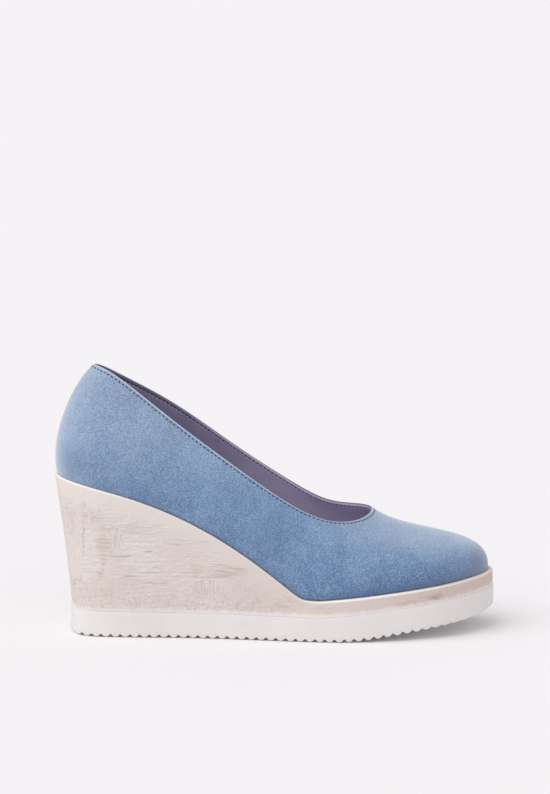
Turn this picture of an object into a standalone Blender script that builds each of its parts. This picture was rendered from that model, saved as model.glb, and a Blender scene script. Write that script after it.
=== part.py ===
"""Wedge pump for the right foot: suede upper, insole, wedge with platform, ripple outsole.

Metres, +Z up, +X towards the toe, +Y towards the medial (inner) side of the foot.
The origin is on the floor, under the middle of the shoe's bounding box.
"""

import math
from collections import namedtuple

import bmesh
import bpy
import numpy as np

MM = 0.001

# Driving dimensions
LENGTH = 239 * MM  # heel back to toe tip
WALL = 2.0 * MM  # suede and lining together
GAP = 0.3 * MM  # between touching pieces
INSOLE_THICKNESS = 2.5 * MM
OUTSOLE_HEEL = 14.0 * MM  # outsole thickness at the heel
OUTSOLE_BALL = 13.0 * MM  # outsole thickness at the ball
PLATFORM = 8.1 * MM  # height of the wedge unit at the ball
SOLE_STEP = 0.4 * MM  # the outsole stands this far outside the wedge
EDGE_ROUND = 0.8 * MM  # rounding of the wedge's top edge
FLARE = 0.25  # share of the wedge's side slope that gathers at its top

# Wedge unit in side view, with places measured from the heel's back
SEAT_HEIGHT = 83.4 * MM  # top of the wedge at the heel's back
SEAT_SLOPE = 0.08  # fall per length at the heel's back
SEAT_LIP = 1.5 * MM  # extra height at the heel's back
SEAT_LIP_LENGTH = 28 * MM
SHANK_SLOPE = 0.82  # fall per length where the shank comes down to the platform
SHANK_END = 128 * MM
BEND_ROUND = 2.4 * MM  # rounding of the bend between shank and platform
TOP_RISE_START = 143 * MM  # where the platform's top starts to rise
JOINT_RISE_START = 147 * MM  # where the joint with the outsole starts to rise
TOE_RISE = 0.105  # rise per length of platform and joint towards the toe

# Outsole's underside
HEEL_BEVEL = 5 * MM  # length of the bevel at the heel's back
HEEL_BEVEL_RISE = 1.0 * MM
ROCKER_START = 150 * MM  # flat on the floor up to here
ROCKER_ROUND = 24 * MM  # length over which the rocker takes up its slope
ROCKER_SLOPE = 0.137
TOE_BEVEL = 18 * MM  # length of the bevel at the toe's tip
TOE_BEVEL_RISE = 1.7 * MM
RIPPLE_PITCH = 5.22 * MM
RIPPLE_LAND = 2.6 * MM  # flat part of each ripple
RIPPLE_DEPTH = 1.3 * MM
RIPPLE_END = 12 * MM  # the grooves run out this far behind the toe's tip
RIPPLE_FADE = 36 * MM  # length over which they run out
FIRST_GROOVE = 15.6 * MM
ROUND_END = 12 * MM  # stretch of the outsole where its outline rounds off, at heel and toe
ROUND_STEPS = 8  # sections in each of those stretches
FIRST_STEP = 0.2  # place of the outermost section, in steps

# Resolution
PER_SPAN = 6  # ribs between two stations
RIB_ROWS = 12  # faces from feather line to topline
WEDGE_ROWS = 4  # faces up the wedge's side
SHARP_EDGE = math.radians(35)

Plan = namedtuple("Plan", "x lateral medial")
Feather = namedtuple("Feather", "x lateral medial ledge")
Top = namedtuple("Top", "x lateral medial lateral_height medial_height")
Rib = namedtuple("Rib", "bulge rise shoulder drop")

# The tables have a row for each station from the heel's back to the toe, in millimetres. x is measured from
# the heel's back, lateral and medial are the Y of each side, and ledge is how far the wedge stands out there.
SOLE_OUTLINE = {
    "back": Plan(8.5, 0.0, 0.0),
    "heel_round": Plan(12.0, -20.5, 20.5),
    "heel_side": Plan(28.0, -29.3, 29.3),
    "seat_front": Plan(66.0, -31.5, 30.0),
    "waist": Plan(100.0, -35.5, 31.5),
    "ball_back": Plan(133.0, -41.0, 37.0),
    "ball": Plan(162.0, -43.0, 43.0),
    "vamp": Plan(192.0, -38.0, 39.5),
    "toe_side": Plan(220.0, -25.5, 29.0),
    "toe": Plan(239.1, 3.0, 3.0),
}
FEATHER_LINE = {
    "back": Feather(1.5, 0.0, 0.0, 1.4),
    "heel_round": Feather(8.5, -16.5, 16.5, 1.3),
    "heel_side": Feather(30.0, -27.0, 27.0, 1.3),
    "seat_front": Feather(65.0, -28.0, 27.0, 1.4),
    "waist": Feather(100.0, -30.5, 27.0, 1.7),
    "ball_back": Feather(134.0, -36.5, 33.5, 2.0),
    "ball": Feather(162.0, -39.5, 40.0, 2.2),
    "vamp": Feather(191.0, -35.0, 36.5, 2.4),
    "toe_side": Feather(217.5, -23.3, 26.8, 2.6),
    "toe": Feather(236.0, 3.0, 3.0, 2.6),
}
TOPLINE = {
    "back": Top(22.0, 0.0, 0.0, 144.4, 144.4),
    "heel_round": Top(26.0, -7.9, 7.9, 143.6, 142.4),
    "heel_side": Top(38.5, -14.8, 14.8, 136.9, 135.1),
    "seat_front": Top(66.0, -21.3, 21.3, 116.0, 118.6),
    "waist": Top(98.0, -24.8, 24.0, 92.4, 95.9),
    "ball_back": Top(126.0, -25.2, 24.0, 73.0, 77.6),
    "ball": Top(146.0, -22.6, 21.6, 63.2, 67.2),
    "vamp": Top(160.0, -16.6, 17.0, 61.1, 65.2),
    "toe_side": Top(169.0, -7.6, 10.6, 62.3, 65.4),
    "toe": Top(172.5, 2.5, 2.5, 64.6, 64.6),
}

# Each rib of the upper is a cubic from feather line to topline. Its lower handle stands rise above the
# feather line and bulge outside it, its upper handle drop below the topline and shoulder outside it.
RIBS = {
    "back": Rib(4.8, 16.0, 14.0, 12.0),
    "heel_round": Rib(4.6, 16.0, 11.0, 14.0),
    "heel_side": Rib(4.0, 16.0, 6.0, 17.0),
    "seat_front": Rib(3.5, 15.0, 4.0, 17.0),
    "waist": Rib(3.0, 14.0, 4.0, 14.0),
    "ball_back": Rib(2.5, 14.0, 6.0, 12.0),
    "ball": Rib(2.2, 17.0, 10.0, 10.0),
    "vamp": Rib(2.2, 20.5, 15.0, 12.0),
    "toe_side": Rib(2.5, 24.5, 19.5, 16.5),
    "toe": Rib(2.6, 26.0, 21.0, 17.9),
}

Finish = namedtuple("Finish", "name colour roughness")

# Colours are linear red, green, blue
SUEDE = Finish("suede", (0.24, 0.36, 0.55), 0.95)
LINING = Finish("lining", (0.14, 0.12, 0.19), 0.6)
WASHED_WOOD = Finish("washed_wood", (0.64, 0.58, 0.54), 0.6)
SOLE_WHITE = Finish("sole_white", (0.75, 0.73, 0.70), 0.5)


def shoe_x(from_back):
    """Shoe X of a place measured from the heel's back."""
    return from_back - LENGTH / 2


def around(table, lateral_columns, medial_columns):
    """Closed curve round the shoe through a table's rows, lateral side first, in metres."""
    rows = list(table.values())
    knots = [[getattr(row, column) for column in lateral_columns] for row in rows]
    knots += [[getattr(row, column) for column in medial_columns] for row in rows[-2:0:-1]]
    return closed_spline(np.array(knots) * MM)


def closed_spline(knots):
    """Smooth closed curve through the knots, with PER_SPAN points on each span."""
    count = len(knots)
    turn = np.roll(np.eye(count), 1, axis=1)
    slopes = np.linalg.solve(4 * np.eye(count) + turn + turn.T, 3 * (turn - turn.T) @ knots)
    t = np.arange(PER_SPAN)[:, None] / PER_SPAN
    start, end = (1 + 2 * t) * (1 - t) ** 2, t * t * (3 - 2 * t)
    leave, arrive = t * (1 - t) ** 2, t * t * (t - 1)
    spans = []
    for i in range(count):
        j = (i + 1) % count
        spans.append(start * knots[i] + end * knots[j] + leave * slopes[i] + arrive * slopes[j])
    return np.concatenate(spans)


def sole_plan():
    """Plan of the outsole."""
    loop = around(SOLE_OUTLINE, ("x", "lateral"), ("x", "medial"))
    loop[:, 0] = shoe_x(loop[:, 0])
    return loop


def feather_plan():
    """Plan of the upper's lower edge, and the wedge's ledge outside each of its points."""
    loop = around(FEATHER_LINE, ("x", "lateral", "ledge"), ("x", "medial", "ledge"))
    loop[:, 0] = shoe_x(loop[:, 0])
    return loop[:, :2], loop[:, 2]


def topline():
    """The collar's edge in space."""
    loop = around(TOPLINE, ("x", "lateral", "lateral_height"), ("x", "medial", "medial_height"))
    loop[:, 0] = shoe_x(loop[:, 0])
    return loop


def offset(plan, distance):
    """A closed plan curve moved out by a distance, one value or one for each point."""
    along = np.roll(plan, -1, axis=0) - np.roll(plan, 1, axis=0)
    along /= np.linalg.norm(along, axis=1)[:, None]
    outward = np.column_stack([along[:, 1], -along[:, 0]])
    return plan + outward * np.broadcast_to(distance, len(plan))[:, None]


def shank_height(x):
    """Height of the heel seat and shank: a parabola from the seat's slope to the shank's, and the lip."""
    run = x - shoe_x(0)
    bend = (SHANK_SLOPE - SEAT_SLOPE) / (2 * SHANK_END)
    lip = SEAT_LIP * np.clip(1 - run / SEAT_LIP_LENGTH, 0, 1) ** 2
    return SEAT_HEIGHT - SEAT_SLOPE * run - bend * run**2 + lip


def platform_height(x):
    """Height of the platform's top, rising towards the toe."""
    return OUTSOLE_BALL + PLATFORM + TOE_RISE * np.maximum(0, x - shoe_x(TOP_RISE_START))


def wedge_top(x):
    """Height of the wedge's top: shank and platform with a rounded bend between them."""
    shank, platform = shank_height(x), platform_height(x)
    return (shank + platform + np.sqrt((shank - platform) ** 2 + BEND_ROUND**2)) / 2


def wedge_bottom(x):
    """Height of the joint between wedge and outsole."""
    share = np.clip((x - shoe_x(0)) / JOINT_RISE_START, 0, 1)
    rise = TOE_RISE * np.maximum(0, x - shoe_x(JOINT_RISE_START))
    return OUTSOLE_HEEL + (OUTSOLE_BALL - OUTSOLE_HEEL) * share + rise


def underside(x, back, toe):
    """Height of the outsole's underside before the ripples: heel bevel, flat, rocker, toe bevel."""
    heel_share = np.clip(1 - (x - back) / HEEL_BEVEL, 0, 1)
    toe_share = np.clip(1 - (toe - x) / TOE_BEVEL, 0, 1)
    into = np.maximum(0, x - shoe_x(ROCKER_START))
    eased = np.minimum(into, ROCKER_ROUND)
    rocker = ROCKER_SLOPE * (eased**2 / (2 * ROCKER_ROUND) + into - eased)
    return HEEL_BEVEL_RISE * heel_share**2 + rocker + TOE_BEVEL_RISE * toe_share**2


def bezier(control, t):
    """Points of the cubics with these four control points, at t."""
    a, b, c, d = control
    return a * (1 - t) ** 3 + 3 * b * t * (1 - t) ** 2 + 3 * c * t**2 * (1 - t) + d * t**3


def upper_rows():
    """Loops of the upper's outer face, from the feather line up to the topline."""
    plan, _ = feather_plan()
    foot = np.column_stack([plan, wedge_top(plan[:, 0]) + GAP])
    collar = topline()
    bulge, rise, shoulder, drop = around(RIBS, Rib._fields, Rib._fields).T[:, :, None]
    outward = (foot - collar) * (1, 1, 0)
    outward /= np.linalg.norm(outward, axis=1)[:, None]
    up = np.array((0.0, 0.0, 1.0))
    control = (foot, foot + outward * bulge + up * rise, collar + outward * shoulder - up * drop, collar)
    return [bezier(control, row / RIB_ROWS) for row in range(RIB_ROWS + 1)]


def wedge_rows():
    """Loops of the wedge's side, from the outsole up to its rounded top edge."""
    plan, ledge = feather_plan()
    bottom, top = offset(sole_plan(), -SOLE_STEP), offset(plan, ledge)
    low = wedge_bottom(bottom[:, 0]) + GAP / 2
    high = wedge_top(top[:, 0]) - EDGE_ROUND
    rows = []
    for row in range(WEDGE_ROWS + 1):
        share = row / WEDGE_ROWS
        side = bottom + (top - bottom) * share * (1 - FLARE + FLARE * share)
        rows.append(np.column_stack([side, low + (high - low) * share]))
    rim = offset(top, -EDGE_ROUND)
    rows.append(np.column_stack([rim, wedge_top(rim[:, 0])]))
    return rows


def insole_rows():
    """Loops of the insole's side, lying on the wedge inside the upper."""
    plan, _ = feather_plan()
    edge = offset(plan, -(WALL + 2 * GAP))
    base = wedge_top(edge[:, 0]) + GAP
    return [np.column_stack([edge, base]), np.column_stack([edge, base + INSOLE_THICKNESS])]


def ripples(back, toe):
    """X and depth of every edge of the ripples: groove, land start, land end."""
    groove_half = (RIPPLE_PITCH - RIPPLE_LAND) / 2
    cuts = {}
    for index in range(int((toe - back) / RIPPLE_PITCH)):
        middle = shoe_x(FIRST_GROOVE + index * RIPPLE_PITCH)
        if middle + RIPPLE_PITCH < toe:
            cuts[middle - groove_half] = 0
            cuts[middle] = RIPPLE_DEPTH * np.clip((toe - middle - RIPPLE_END) / RIPPLE_FADE, 0, 1)
            cuts[middle + groove_half] = 0
    return cuts


def outsole_sections():
    """Cross-sections of the outsole from heel to toe, four corners each."""
    plan = sole_plan()
    half = len(plan) // 2
    lateral, medial = plan[: half + 1], np.concatenate([plan[:1], plan[: half - 1 : -1]])
    cuts = ripples(plan[0, 0], plan[half, 0])
    shares = (np.arange(ROUND_STEPS) + FIRST_STEP) ** 2 / ROUND_STEPS**2
    ends = [*(plan[0, 0] + ROUND_END * shares), *(plan[half, 0] - ROUND_END * shares)]
    clear = [x for x in ends if min(abs(x - cut) for cut in cuts) > 2 * GAP]
    sections = []
    for x in sorted([*cuts, *clear]):
        outer = np.interp(x, lateral[:, 0], lateral[:, 1])
        inner = np.interp(x, medial[:, 0], medial[:, 1])
        depth = np.interp(x, list(cuts), list(cuts.values()))
        low, high = underside(x, plan[0, 0], plan[half, 0]) + depth, wedge_bottom(x) - GAP / 2
        sections.append([(x, outer, low), (x, inner, low), (x, inner, high), (x, outer, high)])
    return sections


def add_object(name, vertices, faces, material):
    """A named object with one mesh, its faces all turned the same way."""
    mesh = bpy.data.meshes.new(name)
    mesh.from_pydata([tuple(v) for v in vertices], [], faces)
    shell = bmesh.new()
    shell.from_mesh(mesh)
    bmesh.ops.recalc_face_normals(shell, faces=shell.faces)
    shell.to_mesh(mesh)
    shell.free()
    mesh.shade_smooth()
    mesh.set_sharp_from_angle(angle=SHARP_EDGE)
    mesh.materials.append(material)
    placed = bpy.data.objects.new(name, mesh)
    bpy.context.scene.collection.objects.link(placed)
    return placed


def skin_faces(rows, count):
    """Quads between successive closed loops of count points."""
    faces = []
    for row in range(rows - 1):
        low, high = row * count, (row + 1) * count
        for i in range(count):
            j = (i + 1) % count
            faces.append((low + i, low + j, high + j, high + i))
    return faces


def cap_faces(start, count):
    """Faces that fill a closed loop, each running from its lateral side to its medial side."""
    faces = [(start, start + 1, start + count - 1)]
    for i in range(1, count // 2 - 1):
        faces.append((start + i, start + i + 1, start + count - i - 1, start + count - i))
    toe = start + count // 2
    return faces + [(toe - 1, toe, toe + 1)]


def add_capped(name, rows, material):
    """A solid from closed loops, with its lowest and highest loops filled."""
    count = len(rows[0])
    faces = skin_faces(len(rows), count)
    faces += cap_faces(0, count) + cap_faces((len(rows) - 1) * count, count)
    return add_object(name, np.concatenate(rows), faces, material)


def add_upper(material):
    """The upper: one wall, open along the topline and underneath."""
    rows = upper_rows()
    upper = add_object("upper", np.concatenate(rows), skin_faces(len(rows), len(rows[0])), material)
    wall = upper.modifiers.new("wall", "SOLIDIFY")
    wall.thickness = WALL
    wall.offset = -1
    wall.use_even_offset = True
    return upper


def add_outsole(material):
    """The outsole: straight sides over a rippled underside."""
    sections = outsole_sections()
    count = len(sections[0])
    last = (len(sections) - 1) * count
    faces = skin_faces(len(sections), count)
    faces += [tuple(range(count)), tuple(range(last, last + count))]
    return add_object("outsole", np.concatenate(sections), faces, material)


def add_material(finish):
    """A plain Principled material."""
    material = bpy.data.materials.new(finish.name)
    material.use_nodes = True
    shader = material.node_tree.nodes["Principled BSDF"]
    shader.inputs["Base Color"].default_value = (*finish.colour, 1)
    shader.inputs["Roughness"].default_value = finish.roughness
    shader.inputs["Metallic"].default_value = 0
    return material


def main():
    """Clear the scene and build the four pieces."""
    for leftover in list(bpy.data.objects):
        bpy.data.objects.remove(leftover)
    add_upper(add_material(SUEDE))
    add_capped("insole", insole_rows(), add_material(LINING))
    add_capped("wedge", wedge_rows(), add_material(WASHED_WOOD))
    add_outsole(add_material(SOLE_WHITE))


main()
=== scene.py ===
"""Looks of the wedge pump for the right foot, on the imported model.

Metres, +Z up, +X towards the toe, +Y towards the medial (inner) side of the foot. Places along the shoe
are measured from the heel's back, as in the part's source. Its tables are repeated here and sampled more
finely.
"""

import math
from collections import namedtuple

import bmesh
import bpy
import numpy as np
from mathutils import Matrix, Vector


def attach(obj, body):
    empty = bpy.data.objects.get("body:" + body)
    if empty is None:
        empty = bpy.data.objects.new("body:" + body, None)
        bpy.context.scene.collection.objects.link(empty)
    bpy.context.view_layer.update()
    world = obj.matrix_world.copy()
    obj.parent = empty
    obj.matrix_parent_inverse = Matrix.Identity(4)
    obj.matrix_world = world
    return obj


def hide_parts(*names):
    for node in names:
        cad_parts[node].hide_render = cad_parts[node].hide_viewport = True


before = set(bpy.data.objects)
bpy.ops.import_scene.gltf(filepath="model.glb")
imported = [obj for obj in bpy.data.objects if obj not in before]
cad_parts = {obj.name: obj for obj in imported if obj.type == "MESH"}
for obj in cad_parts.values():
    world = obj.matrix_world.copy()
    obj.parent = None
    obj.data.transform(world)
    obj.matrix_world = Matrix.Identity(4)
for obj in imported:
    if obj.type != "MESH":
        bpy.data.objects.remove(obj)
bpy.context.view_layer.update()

MM = 0.001

# Sizes of the shoe
LENGTH = 239 * MM
WALL = 2.0 * MM
JOINT_GAP = 0.06 * MM  # between wedge and outsole
FOOT_GAP = 0.05 * MM  # between wedge and upper
INSOLE_THICKNESS = 2.5 * MM
OUTSOLE_HEEL = 14.0 * MM
OUTSOLE_BALL = 13.0 * MM
PLATFORM = 8.1 * MM
SOLE_STEP = 0.4 * MM
FLARE = 0.25
SEAT_HEIGHT = 83.4 * MM
SEAT_SLOPE = 0.08
SEAT_LIP = 1.5 * MM
SEAT_LIP_LENGTH = 28 * MM
SHANK_SLOPE = 0.82
SHANK_END = 128 * MM
BEND_ROUND = 2.4 * MM
TOP_RISE_START = 143 * MM
JOINT_RISE_START = 147 * MM
TOE_RISE = 0.105
HEEL_BEVEL = 5 * MM
HEEL_BEVEL_RISE = 1.0 * MM
ROCKER_START = 150 * MM
ROCKER_ROUND = 24 * MM
ROCKER_SLOPE = 0.137
TOE_BEVEL = 18 * MM
TOE_BEVEL_RISE = 1.7 * MM
RIPPLE_PITCH = 5.22 * MM
RIPPLE_DEPTH = 1.3 * MM
RIPPLE_END = 12 * MM
RIPPLE_FADE = 36 * MM
FIRST_GROOVE = 15.6 * MM

# Finer forms that only the looks have
RIM = WALL / 2  # radius of the collar's rounded edge
EDGE_TURN = math.radians(60)  # how far round that edge the suede reaches
SUEDE_THICKNESS = 1.1 * MM
LINING_START = 1.15 * MM  # depth of the lining's outer face under the suede's
TUCK = 0.8 * MM  # radius with which the upper turns in at the feather line
TUCK_HEEL_SHARE = 0.3  # smaller round the heel
TUCK_START = 12 * MM
TUCK_FULL = 70 * MM
STITCH_ROW = 2.0 * MM  # below the collar's edge
STITCH_PITCH = 2.5 * MM
STITCH_LENGTH = 1.4 * MM
STITCH_WIDTH = 0.72 * MM
STITCH_HEIGHT = 0.42 * MM
STITCH_END = 0.12  # share of a stitch's thickness that is left at its ends
STITCH_BLUNTNESS = 3  # how full it is towards its ends
STITCH_PROUD = 0.35  # share of its half height by which it stands out
GROOVE_DEPTH = 0.28 * MM  # the seam pulls the wall in along its stitches
GROOVE_WIDTH = 0.5 * MM
WEDGE_TOP_ROUND = 0.9 * MM
WEDGE_FOOT_ROUND = 0.08 * MM
SOLE_TOP_ROUND = 0.14 * MM
SOLE_FOOT_ROUND = 0.35 * MM
INSOLE_ROUND = 0.7 * MM
INSOLE_CLEAR = 0.15 * MM
HIDDEN = 50 * MM  # distance to an edge given to faces inside the wall
CAP_INSET = 4 * MM  # how far the flat tops and undersides start inside the edge
EMBOSS = (-0.3 * MM, 0, 0.45 * MM)  # offset from a ridge of the wood print towards the light, to its flank with the painted highlight
RIPPLE_SHARPNESS = 2  # how narrow the grooves are against the lands
CONTACT_SHADE = 0.5  # painted shade along the lands' lower edge, against that in the grooves

# Resolution
PER_SPAN = 16
RIB_SAMPLES = 160
FOOT_BAND = 5 * MM
FOOT_ROWS = 10
ROW_CROWDING = 1.5  # how much closer together the rows are at the very foot
COLLAR_BAND = 5 * MM
COLLAR_ROWS = 21
MIDDLE_ROWS = 36
RIM_ROWS = 7
LINING_FOOT = 2  # row at which the lining's face starts
BACK_START = 3  # rows left off at the ends of the hidden backs
BACK_STEP = 6  # rows between those of the hidden backs
WEDGE_ROWS = 22
ROUND_ROWS = 4
SOLE_ROWS = 5
RIPPLE_STEPS = 12
END_STEPS = 26
END_ROUND = 14 * MM
STATION_SPREAD = 0.02 * MM  # least distance between the outsole's sections
STITCH_SIDES = 8
STITCH_RINGS = 5
SHARP_EDGE = math.radians(50)

Plan = namedtuple("Plan", "x lateral medial")
Feather = namedtuple("Feather", "x lateral medial ledge")
Top = namedtuple("Top", "x lateral medial lateral_height medial_height")
Rib = namedtuple("Rib", "bulge rise shoulder drop")

# A row for each station from the heel's back to the toe, in millimetres
SOLE_OUTLINE = {
    "back": Plan(8.5, 0.0, 0.0),
    "heel_round": Plan(12.0, -20.5, 20.5),
    "heel_side": Plan(28.0, -29.3, 29.3),
    "seat_front": Plan(66.0, -31.5, 30.0),
    "waist": Plan(100.0, -35.5, 31.5),
    "ball_back": Plan(133.0, -41.0, 37.0),
    "ball": Plan(162.0, -43.0, 43.0),
    "vamp": Plan(192.0, -38.0, 39.5),
    "toe_side": Plan(220.0, -25.5, 29.0),
    "toe": Plan(239.1, 3.0, 3.0),
}
FEATHER_LINE = {
    "back": Feather(1.5, 0.0, 0.0, 1.4),
    "heel_round": Feather(8.5, -16.5, 16.5, 1.3),
    "heel_side": Feather(30.0, -27.0, 27.0, 1.3),
    "seat_front": Feather(65.0, -28.0, 27.0, 1.4),
    "waist": Feather(100.0, -30.5, 27.0, 1.7),
    "ball_back": Feather(134.0, -36.5, 33.5, 2.0),
    "ball": Feather(162.0, -39.5, 40.0, 2.2),
    "vamp": Feather(191.0, -35.0, 36.5, 2.4),
    "toe_side": Feather(217.5, -23.3, 26.8, 2.6),
    "toe": Feather(236.0, 3.0, 3.0, 2.6),
}
TOPLINE = {
    "back": Top(22.0, 0.0, 0.0, 144.4, 144.4),
    "heel_round": Top(26.0, -7.9, 7.9, 143.6, 142.4),
    "heel_side": Top(38.5, -14.8, 14.8, 136.9, 135.1),
    "seat_front": Top(66.0, -21.3, 21.3, 116.0, 118.6),
    "waist": Top(98.0, -24.8, 24.0, 92.4, 95.9),
    "ball_back": Top(126.0, -25.2, 24.0, 73.0, 77.6),
    "ball": Top(146.0, -22.6, 21.6, 63.2, 67.2),
    "vamp": Top(160.0, -16.6, 17.0, 61.1, 65.2),
    "toe_side": Top(169.0, -7.6, 10.6, 62.3, 65.4),
    "toe": Top(172.5, 2.5, 2.5, 64.6, 64.6),
}
RIBS = {
    "back": Rib(4.8, 16.0, 14.0, 12.0),
    "heel_round": Rib(4.6, 16.0, 11.0, 14.0),
    "heel_side": Rib(4.0, 16.0, 6.0, 17.0),
    "seat_front": Rib(3.5, 15.0, 4.0, 17.0),
    "waist": Rib(3.0, 14.0, 4.0, 14.0),
    "ball_back": Rib(2.5, 14.0, 6.0, 12.0),
    "ball": Rib(2.2, 17.0, 10.0, 10.0),
    "vamp": Rib(2.2, 20.5, 15.0, 12.0),
    "toe_side": Rib(2.5, 24.5, 19.5, 16.5),
    "toe": Rib(2.6, 26.0, 21.0, 17.9),
}

# Marks in side view, in millimetres: place from the heel's back and height, half length and half height, then
# strength, and tilt in degrees
Mark = namedtuple("Mark", "kind x z length height strength tilt", defaults=(1, 0))
MARKS = (
    # Worn patches of the wood print, by the strokes in them
    Mark("along", 88, 37.6, 23, 4.8, 0.65),
    Mark("along", 55, 34.6, 20, 5.5, 0.6),
    Mark("along", 75, 52.5, 16, 2.4, 0.6),
    Mark("along", 29, 52.0, 5.2, 12.0, 0.5),
    Mark("along", 38, 46.0, 8.0, 2.6, 0.7),
    Mark("along", 50, 60.0, 14, 5.0, 0.3),
    Mark("across", 18.0, 60.0, 1.8, 18.0, 0.6),
    Mark("across", 36.5, 55.5, 4.2, 7.0, 0.4),
    Mark("across", 84, 29.0, 10, 5.0, 0.3),
    Mark("curl", 23.5, 67.0, 7.0, 4.5, 0.5),
    Mark("curl", 10, 64.0, 5.0, 12.0, 0.4),
    Mark("curl", 28, 36.5, 4.0, 3.0, 0.6),
    Mark("curl", 34, 59.5, 4.5, 3.0, 0.4),
    Mark("slant", 15, 29.0, 6.0, 5.0, 0.5),
    Mark("slant", 128, 21.5, 12, 4.0, 0.4),
    Mark("slant", 148, 18.5, 10, 2.5, 0.4),
    Mark("slant", 200, 22.0, 12, 3.5, 0.6),
    # Single dark cracks in it
    Mark("crack", 53.2, 48.1, 3.2, 0.9, 0.75, 6),
    Mark("crack", 18.8, 72.4, 0.5, 2.6, 0.6),
    Mark("crack", 17.9, 55.0, 0.55, 3.6, 0.65, 4),
    Mark("crack", 33.0, 47.5, 0.6, 2.2, 0.6, -14),
    Mark("crack", 40.0, 45.4, 5.0, 0.5, 0.6, 2),
    Mark("crack", 28.9, 41.0, 2.4, 0.6, 0.6, 22),
    Mark("crack", 27.1, 35.8, 2.6, 0.8, 0.6, -18),
    Mark("crack", 24.2, 66.3, 4.5, 0.6, 0.55, -24),
    Mark("crack", 69.0, 51.6, 2.2, 0.5, 0.55, -8),
    Mark("crack", 55.5, 36.5, 3.0, 0.6, 0.55, 4),
    # Fields of it whose fine ridges stand upright
    Mark("upright", 36.0, 55.0, 6.0, 9.0),
    Mark("upright", 92.0, 28.0, 18.0, 5.5),
    Mark("upright", 13.0, 44.0, 5.0, 15.0),
    # Yellowed and browned places of it
    Mark("ochre", 29.6, 52.0, 5.5, 10.5, 0.3),
    Mark("ochre", 79.5, 38.5, 5.0, 2.6, 0.35),
    Mark("ochre", 31.0, 26.5, 7.0, 5.0, 0.25),
    Mark("brown", 193.0, 21.3, 9.0, 3.4, 0.45),
    Mark("brown", 208.5, 23.8, 6.5, 4.2, 0.6),
    # Brushed places of the suede: pale ones, then painted shade where its side curves under at the waist, at
    # the heel's back and at the toe's tip
    Mark("pale", 33.8, 89.8, 11.0, 5.0, 0.05),
    Mark("pale", 43.4, 100.0, 10.0, 5.0, 0.05),
    Mark("dark", 119.6, 54.0, 17.0, 14.0, 0.3),
    Mark("dark", 14.0, 96.0, 13.0, 12.0, 0.3),
    Mark("dark", 236.0, 38.0, 13.0, 16.0, 0.8),
)

# Camera: this place of the shoe shows at this pixel of the photograph
IMAGE_SIZE = (550, 794)
AIM_PLACE = Vector((-0.0005, 0.0, 0.06925))
AIM_PIXEL = (273.85, 500.0)
CAMERA_ELEVATION = math.radians(10.5)
CAMERA_DISTANCE = 1.6
FOCAL_PIXELS = 2940
SENSOR = 36.0

# Studio
BACKDROP = (0.92, 0.90, 0.925)  # what the camera sees beyond the floor
SURROUND = (0.66, 0.65, 0.66)  # light from all round
FLOOR_SIZE = 60.0
FLOOR_DROP = 0.2 * MM
FLOOR_GLOW_STRENGTH = 0.06  # the table is lit from below
Lamp = namedtuple("Lamp", "name azimuth elevation softness energy")
LAMPS = (
    Lamp("key", -60, 55, 60, 1.3),
    Lamp("front", -10, 30, 80, 0.25),
)


def from_srgb(red, green, blue):
    """Linear colour of 0 to 255 screen values."""
    linear = []
    for value in (red / 255, green / 255, blue / 255):
        linear.append(value / 12.92 if value < 0.04045 else ((value + 0.055) / 1.055) ** 2.4)
    return (*linear, 1)


# painted shade in the crease where the suede tucks in over the wedge
SUEDE_CREASE_SHADE = from_srgb(22, 36, 70)
# darker nap, and painted shade along the vamp's foot and in places
SUEDE_SHADE = from_srgb(40, 77, 122)
# painted shade towards the suede's foot
SUEDE_DEEP = from_srgb(40, 88, 141)
SUEDE_MID = from_srgb(92, 130, 171)
SUEDE_LIGHT = from_srgb(170, 194, 222)
# painted highlight along the collar's edge
SUEDE_EDGE = from_srgb(212, 220, 240)
# painted sheen towards the heel's top, and the pale brushed places
SUEDE_SHEEN_AND_NAP = from_srgb(222, 226, 232)
SUEDE_SHEEN = (0.89, 0.94, 1.0, 1)
THREAD = from_srgb(46, 60, 100)
LINING_DEEP = from_srgb(126, 121, 156)
LINING_PALE = from_srgb(160, 152, 176)
# painted light inside the front of the lining
LINING_FRONT = from_srgb(213, 203, 227)
# painted shade on the band along the lining's edge at the heel, and the colour of its dark edge
LINING_EDGE = from_srgb(62, 66, 94)
LINING_THREAD = from_srgb(62, 56, 76)
WOOD_PALE = from_srgb(232, 225, 221)
WOOD_BEIGE = from_srgb(220, 209, 204)
WOOD_WARM = from_srgb(212, 199, 192)
WOOD_TOP = from_srgb(233, 226, 219)
# painted highlight along the wedge's top edge
WOOD_RIM_HIGHLIGHT = from_srgb(246, 240, 235)
WOOD_PINK = from_srgb(198, 182, 176)
WOOD_TAN = from_srgb(205, 186, 174)
WOOD_OCHRE = from_srgb(206, 186, 152)
WOOD_BROWN = from_srgb(180, 156, 142)
WOOD_MARK = from_srgb(146, 130, 116)
SOLE_WHITE = from_srgb(233, 229, 227)
SOLE_SHADE = from_srgb(222, 218, 215)
# painted shade in the outsole's grooves and along its lower edge
SOLE_GROOVE_SHADE = from_srgb(34, 31, 26)
FLOOR_WHITE = (0.825, 0.813, 0.827, 1)
FLOOR_GLOW = (1.0, 0.975, 0.985, 1)

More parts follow.
